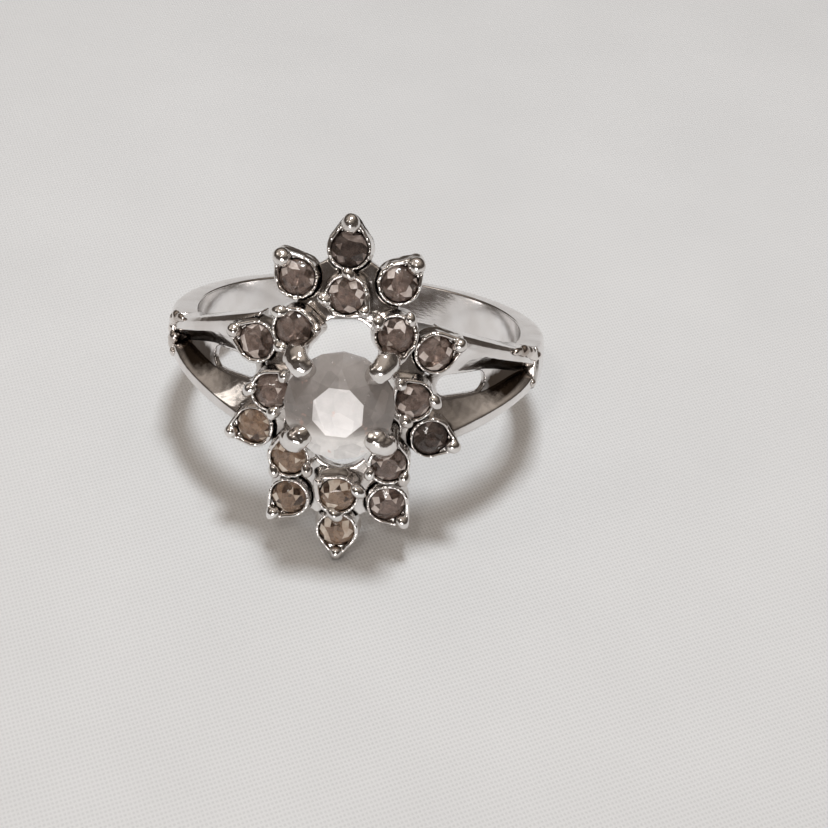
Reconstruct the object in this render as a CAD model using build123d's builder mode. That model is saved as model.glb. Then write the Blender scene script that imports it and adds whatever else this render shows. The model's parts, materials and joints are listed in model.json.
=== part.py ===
from build123d import *
import os
from math import atan2, cos, degrees, radians, sin

os.makedirs("parts", exist_ok=True)

# Cocktail ring, lying on its side. Every piece is shaped in the ring's own axes:
# X across the ring, Y along the finger, Z out through the head, origin in the
# middle of the finger hole. write() then lays each piece on its side, head towards -Y.

# ---- Driving dimensions, mm and degrees ----------------------------------------
BORE_R = 9.1             # finger hole, 18.2 mm across
BAND_HALF = 1.2          # half the width of the plain band
BAND_BACK = 1.08         # thickness of the band behind the finger
BAND_LIFT = 0.44         # the outer circle stands this far towards the head
BAND_CROWN = 0.2         # rise of the rounded outer face
SEAM_ANGLE = 18.5        # where band and shoulder are soldered, up from the X axis
SEAM_HALF = 1.2          # half the solder joint's thickness, in degrees round the ring
SEAM_R = 10.5            # outer radius of the ring at that joint
PLATE_ANGLE = 62         # where shoulder and head plate meet
SOLDER_RISE = 0.07       # the solder stands proud of the band by this much
LUMP_SINK = 0.08         # its lumps are sunk into the surface by this much
EDGE_CHAMFER = 0.2       # softened outer edge of each arm
SIDE_FLARE = 0.25        # the arms are this much wider at the finger
# angle up from X, half width of the shoulder, half width of the groove's mouth,
# half width of its floor, radius of its floor, radius of the rim
SHOULDER = [
    (SEAM_ANGLE + SEAM_HALF, 1.24, 0.44, 0.03, 9.95, 10.50),
    (28, 1.54, 0.90, 0.24, 9.60, 10.45),
    (38, 2.02, 1.36, 0.60, 9.45, 10.35),
    (50, 2.64, 2.02, 0.72, 9.40, 10.20),
    (62, 3.25, 2.75, 0.85, 9.40, 10.00),
]
SLOT_HALF = 0.6          # half width of the slot pierced through the groove's floor
SLOT_ANGLES = (39, 60)   # where that slot begins and ends

HEAD_SHIFT = -0.3        # the head sits this far along the finger from the band's middle
HEAD_TURN = 1.7          # and it is turned a little on its shoulders
STONE_R = 0.92           # small stones
SEAT_R = 0.95            # seat bored for a small stone
SEAT_DEPTH = 0.62
STONE_DEPTH = 0.5        # from the stone's edge down to its flat foot
BED_R = 0.93             # pad of cement under a small stone
CUP_R = 1.13             # round end of a pear-shaped cup
CUP_DEPTH = 0.8
CUP_FLARE = 0.16         # the cup is this much wider at its foot
LIP_R = 0.09             # rolled lip round each seat
PLATE_TOP_R = 10.1       # crown of the head plate above the finger's axis
PLATE_DROP = 0.95        # fall of that crown at the plate's ends
PLATE_END = 8.8          # half length of the plate's crown along the finger
WEB_R = 1.0              # disc of plate under each cup
OPENING = (2.45, 4.1)    # half axes of the opening under the centre stone

CENTRE_R = 2.75          # centre stone, 5.5 mm across
CENTRE_Z = 11.6          # height of the centre stone's girdle
CLAW_R = 0.62
CLAW_FOOT = 9.35         # height of a claw's foot
CLAW_KNEE = 11.45        # where it begins to bend
CLAW_LEAN = 0.15         # it leans out by this much on the way up
CLAW_BEND_R = 0.62
CLAW_BEND = 75
# direction from the centre stone, distance from its axis
CLAWS = {
    "claw_upper_right": (46, 3.3),
    "claw_upper_left": (134, 3.35),
    "claw_lower_left": (220, 3.15),
    "claw_lower_right": (-38, 3.15),
}

# name, x, y, z of the rim's centre, lean outwards in x and in y, tip direction, tip bead
INNER = [
    ("top", 0.0, 5.35, 10.5, 0, 5, 90, 0.3),
    ("upper_right", 2.6, 3.45, 10.55, 8, 4, 47, 0.3),
    ("right", 3.65, 0.0, 10.3, 12, 0, 0, 0.34),
    ("lower_right", 2.6, -3.45, 10.55, 8, -4, -47, 0.3),
    ("bottom", 0.0, -5.35, 10.5, 0, -5, -90, 0.26),
    ("lower_left", -2.6, -3.45, 10.55, -8, -4, -133, 0.3),
    ("left", -3.65, 0.0, 10.3, -12, 0, 180, 0.34),
    ("upper_left", -2.6, 3.45, 10.55, -8, 4, 133, 0.3),
]
OUTER = [
    ("top", 0.0, 7.6, 9.8, 0, 9, 90, 0.5),
    ("upper_right", 2.6, 5.95, 9.75, 8, 7, 50, 0.52),
    ("right_upper", 4.63, 2.3, 9.25, 16, 3, 20, 0.42),
    ("right_lower", 4.63, -2.3, 9.25, 16, -3, -20, 0.42),
    ("lower_right", 2.6, -5.95, 9.75, 8, -7, -50, 0.4),
    ("bottom", 0.0, -7.6, 9.8, 0, -9, -90, 0.36),
    ("lower_left", -2.6, -5.95, 9.75, -8, -7, -130, 0.4),
    ("left_lower", -4.63, -2.3, 9.25, -16, -3, -160, 0.4),
    ("left_upper", -4.63, 2.3, 9.25, -16, 3, 160, 0.42),
    ("upper_left", -2.6, 5.95, 9.75, -8, 7, 130, 0.52),
]
INNER_TIP = (0.95, 0.3)  # a cup's tip circle: distance from its middle, radius
OUTER_TIP = (1.15, 0.34)
FLANK_BEAD = 0.38        # pair of beads at the inner side of each inner cup
FLANK_ANGLE = 128        # their direction from the cup's tip

# Heights and radii of the stones' outlines over their girdle planes.
SMALL_CUT = ((0.34, 0.5), (0.02, STONE_R), (-0.06, STONE_R), (-STONE_DEPTH, 0.25))
CENTRE_CUT = ((1.2, 1.6), (0.1, CENTRE_R), (-0.08, CENTRE_R), (-1.85, 0.45))

# The ring rests on the lower head tip and on the back of the band.
TIP_Y = 9.45             # how far the lowest head tip reaches along the finger
TIP_Z = 9.1              # height of that tip's underside over the finger's axis
BACK_R = BORE_R + BAND_BACK - BAND_CROWN
LAY_TILT = degrees(atan2(TIP_Y - BAND_HALF, TIP_Z + BACK_R))
LAID = Location((0, 0, 0), (90 - LAY_TILT, 0, 0))
HEAD = Location((0, HEAD_SHIFT, 0), (0, 0, HEAD_TURN))
FAR = 30                 # longer than any piece, for cutting tools
SPARE = 0.7              # pieces are drawn this far into the finger hole before it is bored
CLEAR = 0.02             # the groove's cutter is full width this far above the rim

finger = Cylinder(BORE_R, 2 * FAR, rotation=(90, 0, 0))


def write(piece, name):
    """Lay a finished piece on its side and save it."""
    laid = LAID * piece
    laid.label = name
    export_step(laid, f"parts/{name}.step")


def radial_plane(angle):
    """Plane through the finger's axis: local x along the finger, local y outwards."""
    a = radians(angle)
    return Plane(origin=(0, 0, 0), x_dir=(0, 1, 0), z_dir=(sin(a), 0, -cos(a)))


def on_head(plane):
    """A plane drawn in the head's own axes, where the shifted and turned head carries it."""
    return Plane(HEAD * plane.location)


def head_plane(x, y, z, lean_x, lean_y, tip):
    """Plane of one cup's rim, its local x towards the cup's tip."""
    up = Vector(sin(radians(lean_x)), sin(radians(lean_y)), 1).normalized()
    along = Vector(cos(radians(tip)), sin(radians(tip)), 0)
    along = (along - up * along.dot(up)).normalized()
    return on_head(Plane(origin=(x, y, z), x_dir=along, z_dir=up))


# ---- Plain band ------------------------------------------------------------------
def seam_wedge(angle, reach=FAR):
    """Everything on the head side of the two seams."""
    foot = (reach * cos(radians(angle)), reach * sin(radians(angle)))
    with BuildPart(mode=Mode.PRIVATE) as wedge:
        with BuildSketch(Plane.XZ):
            Polygon((0, 0), foot, (foot[0], reach), (-foot[0], reach), (-foot[0], foot[1]), align=None)
        extrude(amount=reach, both=True)
    return wedge.part


with BuildPart() as band:
    back = BORE_R + BAND_BACK
    with BuildSketch(Plane.YZ):
        with BuildLine():
            ThreePointArc((-BAND_HALF, BAND_CROWN - back), (0, -back), (BAND_HALF, BAND_CROWN - back))
            Polyline((BAND_HALF, BAND_CROWN - back), (BAND_HALF, SPARE - BORE_R), (-BAND_HALF, SPARE - BORE_R),
                     (-BAND_HALF, BAND_CROWN - back))
        make_face()
    revolve(axis=Axis((0, 0, BAND_LIFT), (0, 1, 0)), revolution_arc=360)
    add(finger, mode=Mode.SUBTRACT)
    add(seam_wedge(SEAM_ANGLE - SEAM_HALF), mode=Mode.SUBTRACT)


# ---- Pear-shaped cups ------------------------------------------------------------
def pear(radius, reach, tip_radius):
    """Outline of a cup: a circle drawn out to a smaller one, as edges of one hull."""
    Circle(radius)
    with Locations((reach, 0)):
        Circle(tip_radius)
    make_hull()


def cup_blank(plane, reach, tip_radius, bead, flank):
    """An unbored cup with a rolled lip, a bead on its tip and two at its inner side."""
    with BuildPart() as cup:
        with BuildSketch(plane.offset(LIP_R / 2)):
            pear(CUP_R, reach, tip_radius)
        with BuildSketch(plane.offset(-CUP_DEPTH)):
            pear(CUP_R + CUP_FLARE, reach + CUP_FLARE / 2, tip_radius + CUP_FLARE / 2)
        loft()
        with Locations(plane.offset(LIP_R / 2)):
            Torus(CUP_R - LIP_R, LIP_R)
        with Locations(plane.offset(bead / 4)):
            with Locations((reach + tip_radius - bead / 2, 0)):
                Sphere(bead)
        if flank:
            with Locations(plane):
                with PolarLocations(CUP_R, 2, start_angle=FLANK_ANGLE, angular_range=4 * (180 - FLANK_ANGLE)):
                    Sphere(flank)
        add(finger, mode=Mode.SUBTRACT)
    return cup.part


def seat(plane):
    """The round seat bored into a cup from above."""
    with BuildPart() as bore:
        with Locations(plane.offset(-SEAT_DEPTH)):
            Cylinder(SEAT_R, FAR, align=(Align.CENTER, Align.CENTER, Align.MIN))
    return bore.part


def small_stone(plane):
    """A round small stone with twelve facets round its table."""
    with BuildPart() as stone:
        for height, radius in SMALL_CUT:
            with BuildSketch(plane.offset(height)):
                RegularPolygon(radius, 12)
        loft(ruled=True)
    return stone.part


def cement_bed(plane):
    """The pad of cement between a stone and the floor of its seat."""
    with BuildPart() as bed:
        with Locations(plane.offset(-SEAT_DEPTH)):
            Cylinder(BED_R, SEAT_DEPTH - STONE_DEPTH, align=(Align.CENTER, Align.CENTER, Align.MIN))
    return bed.part


def trimmed(solid, tools):
    """Cut away from a piece whatever its nearby neighbours fill."""
    for tool in tools:
        if solid.bounding_box().overlaps(tool.bounding_box()):
            solid = solid - tool
    return solid


cups = {}
stones = {}
beds = []
blanks = []
for ring_name, rows, (reach, tip_radius), flank in (
    ("inner", INNER, INNER_TIP, FLANK_BEAD),
    ("outer", OUTER, OUTER_TIP, 0),
):
    for place, x, y, z, lean_x, lean_y, tip, bead in rows:
        plane = head_plane(x, y, z, lean_x, lean_y, tip)
        blank = trimmed(cup_blank(plane, reach, tip_radius, bead, flank), blanks)
        blanks.append(blank)
        cups[f"cup_{ring_name}_{place}"] = blank - seat(plane)
        stones[f"stone_{ring_name}_{place}"] = small_stone(plane)
        beds.append(cement_bed(plane))

# ---- Centre stone and its four claws ---------------------------------------------
centre_plane = on_head(Plane(origin=(0, 0, CENTRE_Z)))
with BuildPart() as centre_stone:
    for height, radius in CENTRE_CUT:
        with BuildSketch(centre_plane.offset(height)):
            RegularPolygon(radius, 16)
    loft(ruled=True)


def claw(angle, distance):
    """A round claw that rises beside the centre stone and bends over its edge."""
    a = radians(angle)
    plane = on_head(Plane(origin=(0, 0, 0), x_dir=(cos(a), sin(a), 0), z_dir=(sin(a), -cos(a), 0)))
    with BuildPart() as post:
        with BuildLine(plane) as spine:
            rise = Line((distance - CLAW_LEAN, CLAW_FOOT), (distance, CLAW_KNEE))
            JernArc(rise @ 1, rise % 1, CLAW_BEND_R, CLAW_BEND)
        with BuildSketch(Plane(origin=spine.wires()[0] @ 0, z_dir=spine.wires()[0] % 0)):
            Circle(CLAW_R)
        sweep(path=spine.wires()[0])
        with Locations(spine.wires()[0] @ 1):
            Sphere(CLAW_R)
        add(finger, mode=Mode.SUBTRACT)
        add(centre_stone.part, mode=Mode.SUBTRACT)
    return trimmed(post.part, blanks + list(stones.values())).solids().sort_by(SortBy.VOLUME)[-1]


claws = {name: claw(*row) for name, row in CLAWS.items()}

# ---- Head plate -------------------------------------------------------------------
spots = {name: (x, y) for name, x, y, *rest in INNER}
outer_spots = {name: (x, y) for name, x, y, *rest in OUTER}
with BuildPart() as plate:
    with BuildSketch(Plane.YZ):
        with BuildLine():
            ThreePointArc((-PLATE_END, PLATE_TOP_R - PLATE_DROP), (0, PLATE_TOP_R),
                          (PLATE_END, PLATE_TOP_R - PLATE_DROP))
            Polyline((PLATE_END, PLATE_TOP_R - PLATE_DROP), (PLATE_END, BORE_R - SPARE),
                     (-PLATE_END, BORE_R - SPARE), (-PLATE_END, PLATE_TOP_R - PLATE_DROP))
        make_face()
    revolve(axis=Axis.Y, revolution_arc=360)
    add(finger, mode=Mode.SUBTRACT)
    with BuildSketch(on_head(Plane.XY)) as star:
        Polygon(*[outer_spots[n] for n in ("top", "upper_right")], spots["upper_right"],
                outer_spots["right_upper"], spots["right"], outer_spots["right_lower"],
                spots["lower_right"], *[outer_spots[n] for n in ("lower_right", "bottom", "lower_left")],
                spots["lower_left"], outer_spots["left_lower"], spots["left"], outer_spots["left_upper"],
                spots["upper_left"], outer_spots["upper_left"], align=None)
        with Locations(*spots.values(), *outer_spots.values()):
            Circle(WEB_R)
        Ellipse(*OPENING, mode=Mode.SUBTRACT)
    extrude(amount=FAR, mode=Mode.INTERSECT)
    with BuildSketch(Plane.XZ):
        side = (FAR * cos(radians(PLATE_ANGLE)), FAR * sin(radians(PLATE_ANGLE)))
        Polygon((0, 0), side, (-side[0], side[1]), align=None)
    extrude(amount=FAR, both=True, mode=Mode.INTERSECT)
head_plate = trimmed(plate.part, blanks + list(claws.values()))

# ---- Split shoulders ---------------------------------------------------------------
with BuildPart() as arm_block:
    for angle, half, *_, rim_r in SHOULDER:
        with BuildSketch(radial_plane(angle)):
            with BuildLine():
                inner = half + SIDE_FLARE
                Polyline((-inner, BORE_R - SPARE), (inner, BORE_R - SPARE), (half, rim_r - EDGE_CHAMFER),
                         (half - EDGE_CHAMFER, rim_r), (EDGE_CHAMFER - half, rim_r),
                         (-half, rim_r - EDGE_CHAMFER), close=True)
            make_face()
    loft()
    add(finger, mode=Mode.SUBTRACT)
with BuildPart() as groove:
    for angle, _, mouth, floor_half, floor_r, rim_r in SHOULDER:
        with BuildSketch(radial_plane(angle)):
            with BuildLine():
                Polyline((-floor_half, floor_r), (floor_half, floor_r), (mouth, rim_r + CLEAR),
                         (mouth, rim_r + SPARE), (-mouth, rim_r + SPARE), (-mouth, rim_r + CLEAR), close=True)
            make_face()
    loft()
with BuildPart() as slot:
    begin, end = SLOT_ANGLES
    middle = radians((begin + end) / 2)
    length = 2 * BORE_R * sin(radians(end - begin) / 2)
    with BuildSketch(Plane(origin=(0, 0, 0), x_dir=(-sin(middle), 0, cos(middle)),
                           z_dir=(cos(middle), 0, sin(middle)))):
        SlotOverall(length, 2 * SLOT_HALF)
    extrude(amount=FAR)
shoulder_right = arm_block.part - groove.part - slot.part
shoulder_left = shoulder_right.mirror(Plane.YZ)
head_pieces = blanks + list(claws.values()) + [head_plate]
shoulder_right = trimmed(shoulder_right, head_pieces).solids().sort_by(SortBy.VOLUME)[-1]
shoulder_left = trimmed(shoulder_left, head_pieces).solids().sort_by(SortBy.VOLUME)[-1]


# ---- Solder at the two seams ---------------------------------------------------------
def solder_seam(side, lumps):
    """The solder of one joint: a thin slice of the band with lumps (angle, y, radius) on it."""
    with BuildPart() as solder:
        with BuildSketch(radial_plane(SEAM_ANGLE if side > 0 else 180 - SEAM_ANGLE)):
            with Locations((0, BORE_R - SPARE)):
                Rectangle(2 * (BAND_HALF + SOLDER_RISE), SEAM_R + SOLDER_RISE + SPARE - BORE_R,
                          align=(Align.CENTER, Align.MIN))
        extrude(amount=BORE_R * sin(radians(SEAM_HALF)), both=True)
        for angle, y, radius in lumps:
            a = radians(angle)
            with Locations((side * (SEAM_R - LUMP_SINK) * cos(a), y, (SEAM_R - LUMP_SINK) * sin(a))):
                Sphere(radius)
        add(finger, mode=Mode.SUBTRACT)
    return trimmed(solder.part, [band.part, shoulder_left, shoulder_right]).solids().sort_by(SortBy.VOLUME)[-1]


LEFT_LUMPS = [(20, 1.25, 0.36), (17.5, 0.75, 0.34), (19.5, 0.2, 0.3), (17.5, -0.5, 0.36), (19, -1.1, 0.3)]
RIGHT_LUMPS = [(21.1, 1.22, 0.35), (18, 1.1, 0.38), (18.9, -0.95, 0.3)]
solder_left = solder_seam(-1, LEFT_LUMPS)
solder_right = solder_seam(1, RIGHT_LUMPS)

# ---- Save every piece ------------------------------------------------------------------
write(band.part, "plain_band")
write(shoulder_left, "shoulder_left")
write(shoulder_right, "shoulder_right")
write(solder_left, "solder_left")
write(solder_right, "solder_right")
write(head_plate, "head_plate")
write(centre_stone.part, "centre_stone")
write(Compound(beds), "seat_cement")
for name, solid in {**claws, **cups, **stones}.items():
    write(solid, name)

print("tilt on the table", round(LAY_TILT, 2), "pieces", 8 + len(claws) + len(cups) + len(stones))
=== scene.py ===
import json
import math
import random

import bmesh
import bpy
import numpy as np
from mathutils import Matrix, Vector, noise


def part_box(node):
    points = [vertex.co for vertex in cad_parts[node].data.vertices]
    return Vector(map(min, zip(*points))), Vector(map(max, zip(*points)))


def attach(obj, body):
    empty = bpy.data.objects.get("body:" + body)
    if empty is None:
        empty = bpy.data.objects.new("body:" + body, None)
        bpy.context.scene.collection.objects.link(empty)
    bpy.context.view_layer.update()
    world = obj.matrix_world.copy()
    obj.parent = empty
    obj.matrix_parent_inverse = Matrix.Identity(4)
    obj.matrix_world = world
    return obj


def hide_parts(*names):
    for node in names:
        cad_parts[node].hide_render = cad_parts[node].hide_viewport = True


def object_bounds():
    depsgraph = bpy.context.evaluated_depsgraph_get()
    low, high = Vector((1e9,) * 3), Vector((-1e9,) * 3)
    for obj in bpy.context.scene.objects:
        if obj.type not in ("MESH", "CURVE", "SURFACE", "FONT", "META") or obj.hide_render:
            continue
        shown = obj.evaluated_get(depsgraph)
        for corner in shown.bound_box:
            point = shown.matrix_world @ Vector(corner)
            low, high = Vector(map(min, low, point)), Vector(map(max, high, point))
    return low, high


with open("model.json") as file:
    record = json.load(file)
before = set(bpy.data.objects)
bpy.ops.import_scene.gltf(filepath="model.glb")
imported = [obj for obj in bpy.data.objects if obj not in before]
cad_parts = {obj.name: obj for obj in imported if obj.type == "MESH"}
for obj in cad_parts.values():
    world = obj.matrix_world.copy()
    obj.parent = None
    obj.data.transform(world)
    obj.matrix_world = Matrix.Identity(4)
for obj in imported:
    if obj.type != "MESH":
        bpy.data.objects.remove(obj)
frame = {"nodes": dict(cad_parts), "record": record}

# Cocktail ring lying on its side. Sizes are in millimetres and angles in degrees; every
# finished mesh is scaled to metres once, in place(). The ring's own axes are ACROSS the
# ring, along the FINGER and OUT through the head.
MM = 0.001
cad_low, cad_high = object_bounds()
record = frame["record"]
bore = next(mount for mount in record["mounts"] if mount["name"] == "finger_bore")
BORE_R = bore["dims"]["r_mm"]
ACROSS = Vector((1, 0, 0))
FINGER = Vector(bore["axis"]).normalized()
OUT = ACROSS.cross(FINGER)
LAY = Matrix((ACROSS, FINGER, OUT)).transposed().to_4x4()

RIM_R = 10.4             # rims of the arms, from the finger's axis
BAND_HALF = 1.2          # half the band's width along the finger
BAND_CROWN = 0.2         # how far the outside of the band bulges in the middle of its width
BAND_LIFT = 0.44         # how far the outer circle is set towards the head
BAND_END = 17.3          # where the band stops at each solder seam, up from ACROSS
BAND_STEPS = 240
STONE_DEPTH = 0.5        # from a cup's rim down to the foot of its stone
SEAT_DEPTH = 0.62        # from a cup's rim down to the floor of its seat
CUP_DEPTH = 0.8          # from a cup's rim down to its back
RIM_BAND = 0.45          # how near the rim's level a cup's furthest point is looked for
CUP_WALL = 0.17          # from a small stone's edge out to the outside of its cup
CUP_PLAY = 0.03          # from a small stone's edge out to the side of its seat
LIP_R = 0.105            # rolled lip round a cup
FLANK_BEAD = 0.43        # pair of beads at the inner side of each inner cup
FLANK_ANGLE = 128
CLAW_R = 0.62            # about half the width of a claw
CLAW_BEND_R = 0.62       # middle line of a claw's bend
CLAW_BEND = 84           # degrees that a claw turns over the centre stone
CLAW_REACH = 0.12        # step between the lumps of a claw's tip
SEAM_R = 10.5            # solder lumps, from the finger's axis
SOLDER_SQUEEZE = 0.75    # the seam's slice along the finger, before the lumps are added
# Lumps of solder: angle round the ring, place along the finger, half length round the ring, radius.
LEFT_LUMPS = [(154, 1.42, 0.5, 0.24), (158, 1.28, 0.5, 0.32), (161.5, 0.95, 0.36, 0.36),
              (162, 0.45, 0.34, 0.36), (161, -0.05, 0.38, 0.36), (162, -0.5, 0.36, 0.34),
              (161.5, -0.95, 0.3, 0.26)]
RIGHT_LUMPS = [(32, 1.6, 0.45, 0.22), (28.5, 1.5, 0.5, 0.33), (25, 1.3, 0.42, 0.3), (22, 1.1, 0.36, 0.3)]
TIP_BEAD = 0.36          # bead on the tip of a cup, apart from these
BEADS = {
    "cup_outer_top": 0.5, "cup_outer_upper_right": 0.52, "cup_outer_upper_left": 0.52,
    "cup_outer_right_upper": 0.42, "cup_outer_right_lower": 0.42, "cup_outer_left_upper": 0.42,
    "cup_outer_lower_left": 0.4, "cup_outer_lower_right": 0.4, "cup_outer_left_lower": 0.4,
    "cup_inner_top": 0.3, "cup_inner_upper_right": 0.3, "cup_inner_upper_left": 0.3,
    "cup_inner_lower_right": 0.3, "cup_inner_lower_left": 0.3, "cup_inner_bottom": 0.26,
}


# ---- Materials -------------------------------------------------------------------
def new_material(name):
    """A node material, its principled shader and its node tree."""
    material = bpy.data.materials.new(name)
    material.use_nodes = True
    tree = material.node_tree
    return material, tree.nodes["Principled BSDF"], tree


def object_noise(tree, size, detail=2.0, rough=0.5, stretch=(1, 1, 1)):
    """Noise whose features are about size millimetres wide."""
    coords = tree.nodes.new("ShaderNodeTexCoord")
    mapping = tree.nodes.new("ShaderNodeMapping")
    mapping.inputs["Scale"].default_value = stretch
    texture = tree.nodes.new("ShaderNodeTexNoise")
    texture.inputs["Scale"].default_value = 1 / (size * MM)
    texture.inputs["Detail"].default_value = detail
    texture.inputs["Roughness"].default_value = rough
    tree.links.new(coords.outputs["Object"], mapping.inputs["Vector"])
    tree.links.new(mapping.outputs["Vector"], texture.inputs["Vector"])
    return texture.outputs["Fac"]


def along(tree, axis, start, end):
    """How far a point lies from start to end (in millimetres) along an axis of the ring, 0 to 1."""
    coords = tree.nodes.new("ShaderNodeTexCoord")
    dot = tree.nodes.new("ShaderNodeVectorMath")
    dot.operation = "DOT_PRODUCT"
    dot.inputs[1].default_value = axis
    tree.links.new(coords.outputs["Object"], dot.inputs[0])
    span = tree.nodes.new("ShaderNodeMapRange")
    span.clamp = False
    span.inputs["From Min"].default_value = start * MM
    span.inputs["From Max"].default_value = end * MM
    tree.links.new(dot.outputs["Value"], span.inputs["Value"])
    return span.outputs["Result"]


def calc(tree, operation, *values):
    """The result of a maths operation on numbers and sockets."""
    node = tree.nodes.new("ShaderNodeMath")
    node.operation = operation
    for socket, value in zip(node.inputs, values):
        if isinstance(value, bpy.types.NodeSocket):
            tree.links.new(value, socket)
        else:
            socket.default_value = value
    return node.outputs[0]


def groove_shade_and_polish(tree):
    """Painted shade and old polish in the arms' grooves: darkest on the floor and towards the seams."""
    steepness = 1.5          # how fast the painted shade and polish gain with depth, and lose towards the upper rim
    onset = 8.4              # millimetres from the middle at which it starts on the rims
    unevenness = 0.9
    x = calc(tree, "ABSOLUTE", along(tree, ACROSS, 0, 1))
    y = along(tree, FINGER, 0, 1)
    out = calc(tree, "ABSOLUTE", along(tree, OUT, 0, 1))
    squares = calc(tree, "ADD", calc(tree, "POWER", x, 2.0), calc(tree, "POWER", out, 2.0))
    depth = calc(tree, "SUBTRACT", RIM_R, calc(tree, "SQRT", squares))
    upper = calc(tree, "MULTIPLY", calc(tree, "MAXIMUM", y, 0.0), steepness)
    level = calc(tree, "ADD", x, calc(tree, "MULTIPLY", depth, steepness))
    level = calc(tree, "SUBTRACT", level, upper)
    crust = calc(tree, "MULTIPLY", object_noise(tree, 0.45, 3, 0.6), unevenness)
    level = calc(tree, "ADD", level, crust)
    caked_and_shaded = ramp(tree, calc(tree, "SUBTRACT", level, onset), (0.25, grey(0)), (0.95, grey(1)))
    # Half the depth keeps the whole wall within a ramp: clean rims, and a clean face to the finger.
    wall = (RIM_R - BORE_R) / 2
    half_depth = calc(tree, "MULTIPLY", depth, 0.5)
    inside = ramp(tree, half_depth, (0.06, grey(0)), (0.13, grey(1)),
                  (wall - 0.12, grey(1)), (wall - 0.08, grey(0)))
    return mix(tree, 1.0, caked_and_shaded, inside, "MULTIPLY")


def cells(tree, size, output="Color"):
    """A patchwork of cells about size millimetres wide."""
    coords = tree.nodes.new("ShaderNodeTexCoord")
    texture = tree.nodes.new("ShaderNodeTexVoronoi")
    texture.inputs["Scale"].default_value = 1 / (size * MM)
    tree.links.new(coords.outputs["Object"], texture.inputs["Vector"])
    return texture.outputs[output]


def ramp(tree, factor, *stops):
    """A colour ramp of (position, colour) stops."""
    node = tree.nodes.new("ShaderNodeValToRGB")
    elements = node.color_ramp.elements
    while len(elements) < len(stops):
        elements.new(0.5)
    for element, (position, colour) in zip(elements, stops):
        element.position = position
        element.color = (*colour, 1)
    tree.links.new(factor, node.inputs["Fac"])
    return node.outputs["Color"]


def grey(value):
    return (value, value, value)


def mix(tree, factor, first, second, blend="MIX"):
    """Two colours or values mixed by a factor; each may be a socket, a number or a colour."""
    node = tree.nodes.new("ShaderNodeMix")
    node.data_type = "RGBA"
    node.blend_type = blend
    for name, value in (("Factor", factor), ("A", first), ("B", second)):
        socket = node.inputs[name]
        if isinstance(value, bpy.types.NodeSocket):
            tree.links.new(value, socket)
        elif isinstance(value, (int, float)):
            socket.default_value = value
        else:
            socket.default_value = (*value, 1)
    return node.outputs["Result"]


def bump(tree, shader, height, strength, distance):
    """Dents in a surface; distance is in millimetres."""
    node = tree.nodes.new("ShaderNodeBump")
    node.inputs["Strength"].default_value = strength
    node.inputs["Distance"].default_value = distance * MM
    tree.links.new(height, node.inputs["Height"])
    tree.links.new(node.outputs["Normal"], shader.inputs["Normal"])


def cast_metal(name, bright, tarnish, gloss, corner_shade_and_grime, reach, grooved=False):
    """Polished silver-tone casting: uneven polish, scratches, and painted shade with grime in corners up
    to reach wide.
    """
    material, shader, tree = new_material(name)
    shader.inputs["Metallic"].default_value = 1.0
    shade = ramp(tree, object_noise(tree, 1.6, 3), (0.35, tarnish), (0.62, bright))
    # Painted shade and grime: corners shut in by nearby metal, as the occlusion node finds them, are
    # darkened towards the dark colour.
    corners = tree.nodes.new("ShaderNodeAmbientOcclusion")
    corners.samples = 6
    corners.inputs["Distance"].default_value = reach * MM
    corner_shade_and_dirt = ramp(tree, corners.outputs["AO"], (0.25, grey(1)), (0.8, grey(0)))
    rubbed = ramp(tree, object_noise(tree, 0.5, 3), (0.3, grey(0.4)), (0.65, grey(1)))
    colour = mix(tree, mix(tree, 1.0, corner_shade_and_dirt, rubbed, "MULTIPLY"), shade, corner_shade_and_grime)
    if grooved:
        # Painted shade and old polish darken the arms' grooves.
        colour = mix(tree, groove_shade_and_polish(tree), colour, GROOVE_SHADE_AND_POLISH)
    tree.links.new(colour, shader.inputs["Base Color"])
    rough = ramp(tree, object_noise(tree, 0.9, 4), (0.3, grey(gloss)), (0.7, grey(gloss + 0.12)))
    tree.links.new(rough, shader.inputs["Roughness"])
    brushed = object_noise(tree, 0.35, 4, 0.6, stretch=(0.25, 1, 1.8))
    scratches = ramp(tree, brushed, (0, grey(0)), (1, grey(0.35)))
    dents = mix(tree, 1.0, cells(tree, 0.3, "Distance"), corner_shade_and_dirt, "MULTIPLY")
    bump(tree, shader, mix(tree, 1.0, scratches, dents, "ADD"), 0.35, 0.05)
    return material


def foil(name, light, dark, rough, metallic):
    """Foil behind a stone, crinkled and aged unevenly."""
    material, shader, tree = new_material(name)
    shader.inputs["Metallic"].default_value = metallic
    patches = mix(tree, 0.5, object_noise(tree, 0.7, 3, 0.65), cells(tree, 0.4))
    colour = ramp(tree, patches, (0.32, dark), (0.68, light))
    tree.links.new(colour, shader.inputs["Base Color"])
    haze = ramp(tree, object_noise(tree, 0.35, 3), (0.3, grey(rough)), (0.7, grey(rough + 0.2)))
    tree.links.new(haze, shader.inputs["Roughness"])
    bump(tree, shader, mix(tree, 0.5, object_noise(tree, 0.18, 3), cells(tree, 0.3)), 0.35, 0.05)
    return material


def glass(name, tint, cloud, through, rough):
    """Cut glass, clouded and flecked."""
    material, shader, tree = new_material(name)
    shader.inputs["Transmission Weight"].default_value = through
    shader.inputs["IOR"].default_value = 1.54
    flecks = mix(tree, 0.25, object_noise(tree, 0.5, 4, 0.7), cells(tree, 0.25))
    colour = ramp(tree, flecks, (0.36, cloud), (0.58, tint))
    tree.links.new(colour, shader.inputs["Base Color"])
    bump(tree, shader, object_noise(tree, 0.3, 2), 0.3, 0.05)
    haze = ramp(tree, object_noise(tree, 0.5, 3), (0.35, grey(rough)), (0.75, grey(rough + 0.08)))
    tree.links.new(haze, shader.inputs["Roughness"])
    return material


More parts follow.
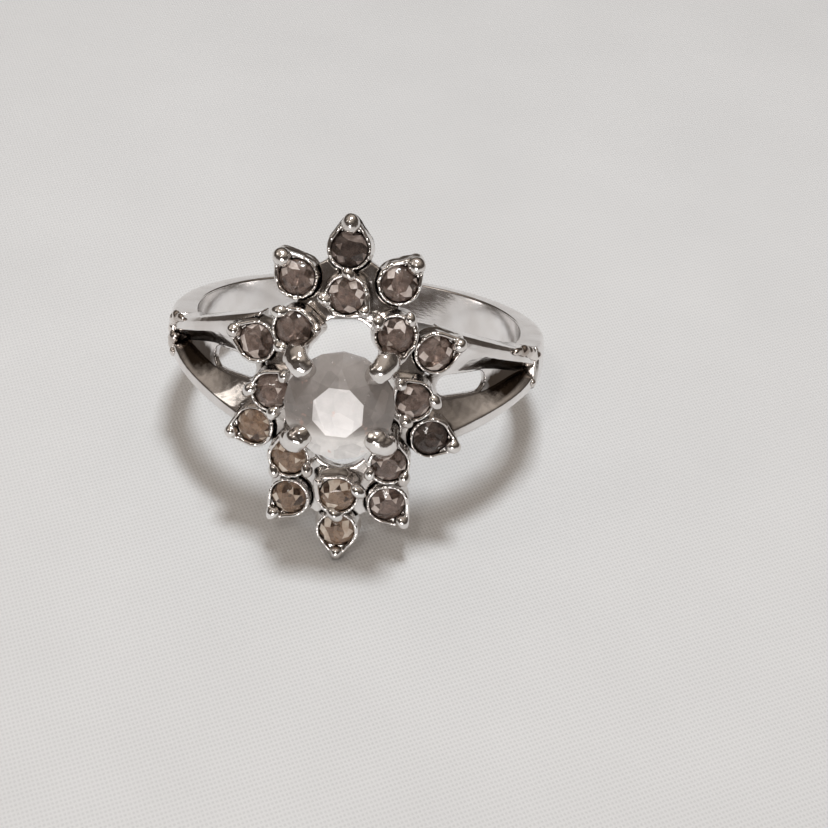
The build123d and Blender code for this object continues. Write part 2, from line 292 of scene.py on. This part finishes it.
def milky(name, through, stops, cloud_size, dusty):
    """Worn, clouded glass whose colour changes along the finger, with a painted reflection where the
    stops turn near white and flecks of painted pink glints; stops are (millimetres, colour).
    """
    material, shader, tree = new_material(name)
    low, high = stops[0][0], stops[-1][0]
    # The lower end is kept nearly opaque so that its painted reflection shows.
    clear = ramp(tree, along(tree, FINGER, *CLEARING), (0, grey(0.02)), (1, grey(through)))
    tree.links.new(clear, shader.inputs["Transmission Weight"])
    shader.inputs["IOR"].default_value = 1.5
    bands = [((height - low) / (high - low), colour) for height, colour in stops]
    # The colours along the finger hold the stone's own tone and its painted reflection.
    haze = ramp(tree, along(tree, FINGER, low, high), *bands)
    mottled = mix(tree, 0.35, object_noise(tree, cloud_size, 4, 0.65), cells(tree, 0.8))
    clouds = ramp(tree, mottled, (0.3, grey(0.72)), (0.66, grey(1.0)))
    # Painted pink glints: small flecks where the noise runs high.
    pink_glints = ramp(tree, object_noise(tree, 0.55, 2), (0.66, grey(0)), (0.74, grey(0.6)))
    clouded_and_reflecting = mix(tree, 1.0, haze, clouds, "MULTIPLY")
    tree.links.new(mix(tree, pink_glints, clouded_and_reflecting, PINK_GLINT), shader.inputs["Base Color"])
    dust = ramp(tree, object_noise(tree, 0.3, 4), (0.35, grey(0.05)), (0.75, grey(dusty)))
    tree.links.new(dust, shader.inputs["Roughness"])
    return material


def matt(name, low, high, size):
    """A dull, grainy surface such as cement."""
    material, shader, tree = new_material(name)
    grain = object_noise(tree, size, 5, 0.7)
    tree.links.new(ramp(tree, grain, (0.3, low), (0.7, high)), shader.inputs["Base Color"])
    shader.inputs["Roughness"].default_value = 0.8
    bump(tree, shader, grain, 0.6, 0.05)
    return material


SILVER = (0.88, 0.86, 0.85)
TARNISH = (0.78, 0.75, 0.73)
# Colour of the painted shade and grime in the metals' corners.
CORNER_SHADE_AND_GRIME = (0.11, 0.08, 0.06)
# Colour of the painted shade and old polish in the arms' grooves.
GROOVE_SHADE_AND_POLISH = (0.05, 0.036, 0.026)
PINK_GLINT = (0.78, 0.55, 0.47)       # painted pink glints in the centre stone
CLEARING = (-1.7, -0.9)          # where the centre stone turns from nearly opaque, under its painted reflection, to clear, along the finger
BAND_METAL = cast_metal("band_silver", SILVER, TARNISH, 0.07, CORNER_SHADE_AND_GRIME, 1.3)
ARM_METAL = cast_metal("arm_silver", SILVER, TARNISH, 0.07, CORNER_SHADE_AND_GRIME, 1.3, grooved=True)
HEAD_METAL = cast_metal("head_silver", (0.88, 0.86, 0.84), (0.68, 0.64, 0.61), 0.07,
                        (0.06, 0.045, 0.035), 0.6)
SOLDER_METAL = cast_metal("solder_silver", (0.86, 0.82, 0.79), (0.42, 0.36, 0.32), 0.12,
                          (0.06, 0.045, 0.03), 0.5)
SMOKY_FOILS = [
    foil("foil_smoke", (0.95, 0.83, 0.76), (0.36, 0.28, 0.245), 0.16, 0.25),
    foil("foil_amber", (1.0, 0.86, 0.70), (0.50, 0.36, 0.26), 0.16, 0.25),
    foil("foil_dark", (0.50, 0.41, 0.37), (0.20, 0.155, 0.135), 0.16, 0.3),
]
SMOKY_GLASSES = [
    glass("glass_smoke", (0.46, 0.365, 0.32), (0.24, 0.185, 0.16), 0.66, 0.03),
    glass("glass_amber", (0.64, 0.485, 0.37), (0.34, 0.24, 0.175), 0.64, 0.03),
    glass("glass_dark", (0.20, 0.155, 0.135), (0.10, 0.077, 0.067), 0.64, 0.03),
]
# Paler, cloudier glasses for crown facets given a painted glint.
GLINT_GLASSES = [
    glass("sparkle_smoke", (0.98, 0.88, 0.82), (0.66, 0.56, 0.50), 0.25, 0.02),
    glass("sparkle_amber", (1.0, 0.90, 0.78), (0.76, 0.61, 0.49), 0.25, 0.02),
    glass("sparkle_dark", (0.50, 0.41, 0.37), (0.28, 0.22, 0.19), 0.4, 0.02),
]
# A dark glass for crown facets given a painted dark reflection.
DARK_REFLECTION_GLASS = glass("glass_dark_reflection", (0.20, 0.155, 0.13), (0.08, 0.06, 0.05), 0.8, 0.02)
CLEAR_FOIL = foil("foil_pearl", (0.97, 0.93, 0.91), (0.80, 0.75, 0.72), 0.30, 0.2)
# Colours of the centre stone along the finger, each at its place in millimetres; the near-white stops at
# the lower end are a painted reflection, and the table is painted paler at that end as well.
CROWN_TONE_AND_REFLECTION = [(-3.2, (1.0, 0.99, 0.98)), (-1.9, (1.0, 0.98, 0.96)), (-1.2, (0.47, 0.43, 0.405)),
              (2.4, (0.56, 0.515, 0.485))]
TABLE_TONE_AND_REFLECTION = [(-1.6, (0.90, 0.875, 0.865)), (1.2, (0.74, 0.705, 0.69))]
MILKY_GLASS = milky("glass_milky", 0.42, CROWN_TONE_AND_REFLECTION, 0.9, 0.3)
TABLE_GLASS = milky("glass_table", 0.25, TABLE_TONE_AND_REFLECTION, 1.0, 0.14)
CEMENT = matt("seat_cement_grey", (0.05, 0.045, 0.04), (0.16, 0.14, 0.12), 0.15)


# ---- Mesh helpers ----------------------------------------------------------------
def new_object(name, mesh):
    obj = bpy.data.objects.new(name, mesh)
    bpy.context.scene.collection.objects.link(obj)
    return obj


def place(obj, node, materials, smooth=True):
    """Scale a piece made in millimetres to metres and let it stand for its CAD node."""
    mesh = obj.data
    mesh.transform(Matrix.Scale(MM, 4))
    # Emptying the slots forgets which facet has which material, so it is kept aside.
    facets = [p.material_index if len(materials) > 1 else 0 for p in mesh.polygons]
    mesh.materials.clear()
    for material in materials:
        mesh.materials.append(material)
    mesh.polygons.foreach_set("material_index", facets)
    mesh.polygons.foreach_set("use_smooth", [smooth] * len(mesh.polygons))
    mesh.update()
    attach(obj, "root")
    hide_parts(node)


def settled(obj):
    """Bake an object's modifiers into its mesh."""
    graph = bpy.context.evaluated_depsgraph_get()
    mesh = bpy.data.meshes.new_from_object(obj.evaluated_get(graph))
    obj.modifiers.clear()
    obj.data = mesh


def cast_copy(node, material, voxel=0.05, smooth=6, swell=0.01, ripple=0.01, ripple_size=0.9):
    """A softened and slightly uneven casting in the shape of a CAD node."""
    mesh = frame["nodes"][node].data.copy()
    mesh.transform(Matrix.Scale(1 / MM, 4))
    obj = new_object(f"cast_{node}", mesh)
    weld = obj.modifiers.new("weld", "WELD")
    weld.merge_threshold = 0.0005
    remesh = obj.modifiers.new("remesh", "REMESH")
    remesh.mode = "VOXEL"
    remesh.voxel_size = voxel
    soften = obj.modifiers.new("soften", "SMOOTH")
    soften.factor = 0.5
    soften.iterations = smooth
    settled(obj)
    wander(obj.data, swell, ripple, ripple_size)
    place(obj, node, [material])


def wander(mesh, swell, ripple, size):
    """Push a surface out by swell and let it wander by ripple, as a hand-finished casting does."""
    mesh.update()
    moved = [v.co + v.normal * (swell + ripple * noise.noise(v.co / size)) for v in mesh.vertices]
    for vertex, spot in zip(mesh.vertices, moved):
        vertex.co = spot
    mesh.update()


def seat_of(node):
    """Axes of a stone: its middle on the axis at the foot, that axis, foot to table height, radius."""
    co = np.array([v.co for v in frame["nodes"][node].data.vertices]) / MM
    co = np.unique(np.round(co, 4), axis=0)
    centre = co.mean(axis=0)
    values, vectors = np.linalg.eigh(np.cov((co - centre).T))
    odd = 0 if abs(values[1] - values[0]) > abs(values[2] - values[1]) else 2
    axis = Vector(vectors[:, odd])
    if axis.dot(OUT) < 0:
        axis.negate()
    heights = (co - centre) @ np.array(axis)
    foot = Vector(centre) + axis * heights.min()
    radius = np.linalg.norm((co - centre) - np.outer(heights, np.array(axis)), axis=1).max()
    return foot, axis, float(heights.max() - heights.min()), float(radius)


def brilliant(name, foot, axis, depth, height, radius, table, spin):
    """A round cut stone: crown in materials 0, 3 and 4, pavilion in material 1, table in material 2."""
    mains = 8
    uneven = random.Random(name)
    crown = height - depth
    mesh = bpy.data.meshes.new(name)
    bm = bmesh.new()
    stance = Matrix.Translation(foot) @ axis.to_track_quat("Z", "Y").to_matrix().to_4x4()

    def ring(count, r, z, half=False):
        step = 2 * math.pi / count
        start = math.radians(spin) + (step / 2 if half else 0)
        corners = []
        for i in range(count):
            angle = start + step * i
            spread = r * uneven.uniform(0.975, 1.0)
            spot = Vector((spread * math.cos(angle), spread * math.sin(angle),
                           z + height * uneven.uniform(-0.012, 0.012)))
            corners.append(bm.verts.new(stance @ spot))
        return corners

    # Rings of corners from the table down to the foot: count, radius and height.
    table_ring = ring(mains, table, height)
    star = ring(mains, (table + radius) / 2 * 1.02, depth + crown * 0.58, half=True)
    girdle_top = ring(2 * mains, radius, depth + crown * 0.06)
    girdle_low = ring(2 * mains, radius, depth - height * 0.06)
    pavilion = ring(mains, radius * 0.52, depth * 0.42, half=True)
    tip = ring(mains, radius * 0.12, 0)
    faces = [(table_ring, 2)]        # corners and material
    for i in range(mains):
        j, k = (i + 1) % mains, (i - 1) % mains
        g0, g1, g2 = girdle_top[2 * i], girdle_top[2 * i + 1], girdle_top[(2 * i + 2) % (2 * mains)]
        h0, h1, h2 = girdle_low[2 * i], girdle_low[2 * i + 1], girdle_low[(2 * i + 2) % (2 * mains)]
        faces += [
            ((table_ring[i], star[i], table_ring[j]), 0),
            ((table_ring[i], star[k], g0, star[i]), 0),
            ((star[i], g0, g1), 0),
            ((star[i], g1, g2), 0),
            ((g0, h0, h1, g1), 0),
            ((g1, h1, h2, g2), 0),
            ((pavilion[i], h1, h0), 1),
            ((pavilion[i], h2, h1), 1),
            ((pavilion[i], h0, pavilion[k], tip[i]), 1),
            ((pavilion[i], tip[i], tip[j]), 1),
        ]
    faces.append((tip, 1))
    for corners, material in faces:
        # Here and there a crown facet is given a painted glint or a painted dark reflection.
        if material == 0:
            material = uneven.choice((0, 0, 0, 3, 4))
        bm.faces.new(corners).material_index = material
    bmesh.ops.recalc_face_normals(bm, faces=bm.faces)
    bm.to_mesh(mesh)
    bm.free()
    return new_object(name, mesh)


# ---- Cups, claws and solder: soft solids melted into one another -----------------
def blob(bm, centre, radii, axes):
    """An ellipsoid with the given half axes, added to a mesh that will be melted."""
    shape = Matrix([axis.normalized() * r for axis, r in zip(axes, radii)]).transposed().to_4x4()
    stance = Matrix.Translation(centre) @ shape
    bmesh.ops.create_icosphere(bm, subdivisions=3, radius=1, matrix=stance)


def hull_outline(radius, reach, tip_radius, count=64):
    """Outline of a circle drawn out to a smaller one, starting at the tip."""
    lean = math.acos((radius - tip_radius) / reach)
    spots = []
    for k in range(count):
        angle = 2 * math.pi * k / count
        turn = math.remainder(angle, 2 * math.pi)
        middle, r = (reach, tip_radius) if abs(turn) < lean else (0, radius)
        spots.append((middle + r * math.cos(angle), r * math.sin(angle)))
    return spots


def tube(bm, centres, radii, sides=10):
    """A closed loop of round tube, of varying radius, through a ring of points."""
    count = len(centres)
    loops = []
    side = None
    for i, (centre, radius) in enumerate(zip(centres, radii)):
        forward = (centres[(i + 1) % count] - centres[i - 1]).normalized()
        side = forward.orthogonal() if side is None else side - forward * side.dot(forward)
        side.normalize()
        up = forward.cross(side)
        loops.append([
            bm.verts.new(centre + (side * math.cos(t) + up * math.sin(t)) * radius)
            for t in (2 * math.pi * k / sides for k in range(sides))
        ])
    for i in range(count):
        first, second = loops[i], loops[(i + 1) % count]
        for k in range(sides):
            bm.faces.new((first[k - 1], first[k], second[k], second[k - 1]))


def melted(name, bm, voxel, smooth, ripple, ripple_size):
    """Fuse the solids in a mesh into one softened casting that stays outside the finger hole."""
    bmesh.ops.recalc_face_normals(bm, faces=bm.faces)
    mesh = bpy.data.meshes.new(name)
    bm.to_mesh(mesh)
    bm.free()
    obj = new_object(name, mesh)
    remesh = obj.modifiers.new("remesh", "REMESH")
    remesh.mode = "VOXEL"
    remesh.voxel_size = voxel
    soften = obj.modifiers.new("soften", "SMOOTH")
    soften.factor = 0.5
    soften.iterations = smooth
    settled(obj)
    wander(obj.data, 0.0, ripple, ripple_size)
    for vertex in obj.data.vertices:
        on_axis = FINGER * vertex.co.dot(FINGER)
        out = vertex.co - on_axis
        if out.length < BORE_R:
            vertex.co = on_axis + out.normalized() * BORE_R
    return obj


def cup_axes(node):
    """Where a cup sits: middle of its rim, axis, way to its tip, tip's reach, its stone's radius."""
    foot, axis, _, radius = seat_of(node.replace("cup_", "stone_"))
    rim = foot + axis * STONE_DEPTH
    spread = [v.co / MM - rim for v in frame["nodes"][node].data.vertices]
    spread = [d - axis * d.dot(axis) for d in spread if abs(d.dot(axis)) < RIM_BAND]
    tip = max(spread, key=lambda d: d.length)
    return rim, axis, tip.normalized(), tip.length, radius


def pear_cup(node, bead, dice):
    """A pear-shaped cup: flared wall, thin rolled lip that rises to a bead, round seat for the stone."""
    rim, axis, tip, reach, radius = cup_axes(node)
    side = axis.cross(tip)
    axes = (tip, side, axis)

    def at(x, y, z):
        return rim + tip * x + side * y + axis * z

    outer, throat = radius + CUP_WALL, radius + CUP_PLAY
    outline = hull_outline(outer, reach - bead * 1.05, max(0.24, bead * 0.8))
    count = len(outline)
    turns = [2 * math.pi * k / count for k in range(count)]
    seat = [(throat * math.cos(t), throat * math.sin(t)) for t in turns]
    # Outlines from the flared back up to the rim, then in and down to the floor of the seat.
    levels = [
        [at(x * 1.12, y * 1.14, -CUP_DEPTH) for x, y in outline],
        [at(x * 1.03, y * 1.03, -0.25) for x, y in outline],
        [at(x, y, 0.0) for x, y in outline],
        [at(x, y, -0.02) for x, y in seat],
        [at(x, y, -SEAT_DEPTH) for x, y in seat],
    ]
    bm = bmesh.new()
    loops = [[bm.verts.new(v) for v in level] for level in levels]
    for first, second in zip(loops, loops[1:]):
        for k in range(count):
            bm.faces.new((first[k - 1], first[k], second[k], second[k - 1]))
    bm.faces.new(loops[-1])
    bm.faces.new(reversed(loops[0]))

    lip = []
    for x, y in outline:
        climb = 0.14 * max(0.0, x - outer * 0.4) / reach
        lip.append(at(x * 0.95, y * 0.95, 0.05 + climb + dice.uniform(-0.025, 0.025)))
    tube(bm, lip, [LIP_R + 0.03 * math.sin(6.3 * k / count + dice.uniform(0, 1)) for k in range(count)])
    stretch = dice.uniform(0.95, 1.12)
    top = at(reach - bead * 0.98, 0, 0.1 + bead * 0.1)
    blob(bm, top, (bead * stretch, bead * 0.92, bead * 0.95), axes)
    if "inner" in node:
        for turn in (FLANK_ANGLE, -FLANK_ANGLE):
            a = math.radians(turn + dice.uniform(-5, 5))
            size = FLANK_BEAD * dice.uniform(0.82, 1.0)
            spot = at((outer + 0.02) * math.cos(a), (outer + 0.02) * math.sin(a), 0.08)
            blob(bm, spot, (size * 1.15, size * 0.85, size * 0.9), axes)
    return melted(f"pear_{node}", bm, voxel=0.036, smooth=4, ripple=0.028, ripple_size=0.38)


def claw_axes(node):
    """The centre stone's foot and axis, and a claw's way out, top, low point and furthest reach."""
    co = [v.co / MM for v in frame["nodes"][node].data.vertices]
    centre, axis, _, _ = seat_of("centre_stone")
    heights = [(p - centre).dot(axis) for p in co]
    away = [(p - centre) - axis * (p - centre).dot(axis) for p in co]
    outward = sum(away, Vector()).normalized()
    return centre, axis, outward, max(heights), min(heights), max(d.length for d in away)


def broad_claw(node, dice):
    """A broad round-ended claw, wider than thick, bent over the centre stone."""
    centre, axis, outward, top, low, far = claw_axes(node)
    side = axis.cross(outward)
    axes = (outward, side, axis)
    width = CLAW_R * dice.uniform(1.02, 1.12)
    thick = CLAW_R * 0.86
    bm = bmesh.new()
    rise = far - thick              # the straight part, from the stone's axis
    foot = low + thick * 0.6
    knee = top - thick - 0.55       # where the bend starts
    steps = 9
    for k in range(steps + 1):
        t = k / steps
        spot = centre + outward * (rise - 0.15 * (1 - t)) + axis * (foot + (knee - foot) * t)
        blob(bm, spot, (thick, width, thick), axes)
    for k in range(steps + 1):
        bend = math.radians(CLAW_BEND) * k / steps
        r = rise - CLAW_BEND_R * (1 - math.cos(bend))
        lift = knee + CLAW_BEND_R * math.sin(bend)
        ease = 1 - 0.1 * k / steps
        sway = 0.06 * math.sin(3 * bend) * dice.uniform(-1, 1)
        spot = centre + outward * r + axis * lift + side * sway
        blob(bm, spot, (thick * ease, width * ease, thick * ease), axes)
    for k in range(4):
        reach = rise - CLAW_BEND_R - CLAW_REACH * (k + 1)
        spot = centre + outward * reach + axis * (knee + 0.6 - 0.05 * k)
        radii = (thick * (0.9 - 0.05 * k), width * (0.92 - 0.07 * k), thick * (0.88 - 0.06 * k))
        blob(bm, spot, radii, axes)
    return melted(f"bent_{node}", bm, voxel=0.045, smooth=5, ripple=0.05, ripple_size=0.55)


def solder_run(node, lumps, dice):
    """Solder along a seam: the CAD slice with lumps (angle, y, half length, radius) melted onto it."""
    bm = bmesh.new()
    bm.from_mesh(frame["nodes"][node].data)
    bm.transform(Matrix.Scale(1 / MM, 4) @ Matrix.Scale(SOLDER_SQUEEZE, 4, FINGER))
    bmesh.ops.remove_doubles(bm, verts=bm.verts, dist=0.0005)
    for angle, y, length, radius in lumps:
        a = math.radians(angle)
        out = ACROSS * math.cos(a) + OUT * math.sin(a)
        round_it = OUT * math.cos(a) - ACROSS * math.sin(a)
        spot = out * SEAM_R + FINGER * y
        size = radius * dice.uniform(0.98, 1.16)
        blob(bm, spot, (size * 0.8, length, size), (out, round_it, FINGER))
    return melted(f"run_{node}", bm, voxel=0.04, smooth=9, ripple=0.05, ripple_size=0.4)


# ---- Metal -----------------------------------------------------------------------
def softened_corners(corners, steps=6):
    """An outline through corners (x, y, reach), each turned by a curve that starts reach before it."""
    points = []
    for i, (x, y, reach) in enumerate(corners):
        corner = Vector((x, y))
        before, after = corners[i - 1], corners[(i + 1) % len(corners)]
        start = corner + (Vector(before[:2]) - corner).normalized() * reach
        end = corner + (Vector(after[:2]) - corner).normalized() * reach
        for k in range(steps + 1):
            t = k / steps
            points.append(start * (1 - t) ** 2 + corner * 2 * t * (1 - t) + end * t ** 2)
    return points


def band_shell(name):
    """The plain band: a crowned section carried round the finger, its outer circle lifted to the head."""
    outer = (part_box("plain_band")[1].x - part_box("plain_band")[0].x) / 2 / MM
    mesh = bpy.data.meshes.new(name)
    bm = bmesh.new()
    loops = []
    for k in range(BAND_STEPS + 1):
        angle = math.radians(BAND_END - k / BAND_STEPS * (180 + 2 * BAND_END))
        radial = Vector((math.cos(angle), 0, math.sin(angle)))
        across = math.sqrt(outer ** 2 - (BAND_LIFT * math.cos(angle)) ** 2)
        crown = BAND_LIFT * math.sin(angle) + across
        edge = crown - BAND_CROWN
        corners = [(-BAND_HALF, BORE_R, 0.12), (-BAND_HALF, edge, 0.28), (0, crown, 0.8),
                   (BAND_HALF, edge, 0.28), (BAND_HALF, BORE_R, 0.12)]
        section = [radial * r + Vector((0, y, 0)) for y, r in softened_corners(corners)]
        loops.append([bm.verts.new(LAY @ spot) for spot in section])
    for first, second in zip(loops, loops[1:]):
        for i, vertex in enumerate(first):
            bm.faces.new((first[i - 1], vertex, second[i], second[i - 1]))
    bm.faces.new(loops[0])
    bm.faces.new(reversed(loops[-1]))
    bmesh.ops.recalc_face_normals(bm, faces=bm.faces)
    bm.to_mesh(mesh)
    bm.free()
    return new_object(name, mesh)


band = band_shell("band_shell")
wander(band.data, 0.0, 0.012, 2.4)
place(band, "plain_band", [BAND_METAL])
for node in ("shoulder_left", "shoulder_right"):
    cast_copy(node, ARM_METAL, smooth=5, swell=0.02, ripple=0.006, ripple_size=0.8)
cast_copy("head_plate", HEAD_METAL, voxel=0.06, ripple=0.03, ripple_size=0.6)
casting = random.Random(3)
for node, lumps in (("solder_left", LEFT_LUMPS), ("solder_right", RIGHT_LUMPS)):
    place(solder_run(node, lumps, casting), node, [SOLDER_METAL])
for node in sorted(frame["nodes"]):
    if node.startswith("cup_"):
        place(pear_cup(node, BEADS.get(node, TIP_BEAD), casting), node, [HEAD_METAL])
    elif node.startswith("claw_"):
        place(broad_claw(node, casting), node, [HEAD_METAL])

# ---- Stones ----------------------------------------------------------------------
dice = random.Random(7)
AMBER = ("stone_inner_lower_left", "stone_inner_bottom", "stone_outer_bottom", "stone_outer_left_lower",
         "stone_outer_lower_left")
DARK = ("stone_outer_right_lower", "stone_outer_top")
TABLE = 0.5              # radius of a table, in stone radii
PAVILION = 0.58          # from a small stone's foot up to its girdle, in stone heights
CENTRE_PAVILION = 0.63
CENTRE_SPREAD = 1.045    # the centre stone is a little wider than its CAD solid, under the claws
CENTRE_DROP = 0.12       # and sits a little towards the lower claws
for node in sorted(frame["nodes"]):
    if node.startswith("stone_"):
        foot, axis, height, radius = seat_of(node)
        gem = brilliant(f"cut_{node}", foot, axis, height * PAVILION, height, radius,
                        radius * TABLE, dice.uniform(0, 45))
        kind = 1 if node in AMBER else 2 if node in DARK else 0
        crown = SMOKY_GLASSES[kind]
        place(gem, node, [crown, SMOKY_FOILS[kind], crown, GLINT_GLASSES[kind], DARK_REFLECTION_GLASS],
              smooth=False)
foot, axis, height, radius = seat_of("centre_stone")
gem = brilliant("cut_centre_stone", foot - FINGER * CENTRE_DROP, axis, height * CENTRE_PAVILION, height,
                radius * CENTRE_SPREAD, radius * TABLE, 22.5)
place(gem, "centre_stone",
      [MILKY_GLASS, CLEAR_FOIL, TABLE_GLASS, MILKY_GLASS, MILKY_GLASS], smooth=False)
cement = frame["nodes"]["seat_cement"]
cement.data.materials.clear()
cement.data.materials.append(CEMENT)

# ---- Floor, light and camera -------------------------------------------------------
FLOOR_HALF = 260
BAND_PITCH = 0.314       # width of a wave texture's band at a scale of 1


def twill(tree, size, turn):
    """Bands of yarn about size millimetres wide, turned from the X axis."""
    coords = tree.nodes.new("ShaderNodeTexCoord")
    mapping = tree.nodes.new("ShaderNodeMapping")
    mapping.inputs["Rotation"].default_value = (0, 0, math.radians(turn))
    bands = tree.nodes.new("ShaderNodeTexWave")
    bands.inputs["Scale"].default_value = BAND_PITCH / (size * MM)
    bands.inputs["Distortion"].default_value = 1.2
    bands.inputs["Detail"].default_value = 2
    tree.links.new(coords.outputs["Object"], mapping.inputs["Vector"])
    tree.links.new(mapping.outputs["Vector"], bands.inputs["Vector"])
    return bands.outputs["Fac"]


floor_material, floor_shader, floor_tree = new_material("pale_cloth")
weave = mix(floor_tree, 1.0, twill(floor_tree, 0.26, 62), twill(floor_tree, 0.2, -25), "MULTIPLY")
yarn = ramp(floor_tree, weave, (0.0, grey(1.0)), (0.9, grey(0.9)))
# Faint painted shade of soft creases in the cloth.
crease_shade = ramp(floor_tree, object_noise(floor_tree, 9, 3), (0.3, grey(0.78)), (0.7, grey(0.81)))
floor_tree.links.new(mix(floor_tree, 1.0, yarn, crease_shade, "MULTIPLY"), floor_shader.inputs["Base Color"])
floor_shader.inputs["Roughness"].default_value = 0.9
bump(floor_tree, floor_shader, weave, 0.3, 0.05)
floor_mesh = bpy.data.meshes.new("floor")
floor_bm = bmesh.new()
bmesh.ops.create_grid(floor_bm, x_segments=2, y_segments=2, size=FLOOR_HALF * MM)
floor_bm.to_mesh(floor_mesh)
floor_bm.free()
floor_mesh.materials.append(floor_material)
floor = new_object("floor", floor_mesh)
floor.location.z = cad_low.z

world = bpy.data.worlds.new("studio")
bpy.context.scene.world = world
world.use_nodes = True
sky = world.node_tree
background = sky.nodes["Background"]
direction = sky.nodes.new("ShaderNodeTexCoord")
split = sky.nodes.new("ShaderNodeSeparateXYZ")
sky.links.new(direction.outputs["Generated"], split.inputs["Vector"])

# A warm ceiling over dark walls, slightly higher up on the viewer's side, broken up by clutter.
lean = calc(sky, "ADD", calc(sky, "MULTIPLY", split.outputs["Y"], 0.12), split.outputs["Z"])
clutter = sky.nodes.new("ShaderNodeTexNoise")
clutter.inputs["Scale"].default_value = 2.3
clutter.inputs["Detail"].default_value = 2.0
sky.links.new(direction.outputs["Generated"], clutter.inputs["Vector"])
unrest = calc(sky, "MULTIPLY", calc(sky, "SUBTRACT", clutter.outputs["Fac"], 0.5), 0.5)
room = ramp(sky, calc(sky, "ADD", lean, unrest),
            (0.10, (0.10, 0.085, 0.075)), (0.42, (0.055, 0.045, 0.038)),
            (0.62, (0.20, 0.17, 0.145)), (0.80, (0.46, 0.40, 0.345)))
sky.links.new(room, background.inputs["Color"])
background.inputs["Strength"].default_value = 1.0


def direction_of(azimuth, elevation):
    """The way to something at an azimuth from the viewer's side, round to the right, and an elevation."""
    a, e = math.radians(azimuth), math.radians(elevation)
    return Vector((math.sin(a) * math.cos(e), -math.cos(a) * math.cos(e), math.sin(e)))


def softbox(name, azimuth, elevation, distance, width, height, radiance, colour):
    """A soft rectangular lamp aimed at the ring, of a given surface brightness."""
    toward = direction_of(azimuth, elevation)
    lamp = bpy.data.lights.new(name, "AREA")
    lamp.shape = "RECTANGLE"
    lamp.size = width * MM
    lamp.size_y = height * MM
    lamp.energy = radiance * math.pi * lamp.size * lamp.size_y
    lamp.color = colour
    obj = bpy.data.objects.new(name, lamp)
    obj.location = toward * distance * MM
    obj.rotation_euler = (-toward).to_track_quat("-Z", "Y").to_euler()
    bpy.context.scene.collection.objects.link(obj)


softbox("key", 168, 83, 220, 42, 38, 55.0, (0.90, 0.94, 0.98))
softbox("fill_left", -75, 40, 220, 50, 90, 1.2, (1.0, 0.93, 0.86))
softbox("fill_front", -15, 52, 220, 24, 24, 20.0, (1.0, 0.96, 0.92))
softbox("window", -1.5, 5.5, 220, 84, 54, 8.5, (1.0, 0.965, 0.95))

CAMERA_TURN = 1.455        # swing round the ring
CAMERA_RISE = 41.56        # above the floor
CAMERA_ROLL = 4.58
CAMERA_DISTANCE = 100
AIM = Vector((3.571, -2.584, -3.153))
LENS = 76.52
camera_data = bpy.data.cameras.new("camera")
camera_data.lens = LENS
camera_data.sensor_width = 36
camera_data.clip_start = 0.001
camera = bpy.data.objects.new("camera", camera_data)
back = direction_of(CAMERA_TURN, CAMERA_RISE)
camera.location = (AIM + back * CAMERA_DISTANCE) * MM
level = (-back).to_track_quat("-Z", "Y").to_matrix()
roll = Matrix.Rotation(math.radians(CAMERA_ROLL), 3, "Z")
camera.rotation_euler = (level @ roll).to_euler()
bpy.context.scene.collection.objects.link(camera)
bpy.context.scene.camera = camera
bpy.context.scene.view_settings.view_transform = "Standard"
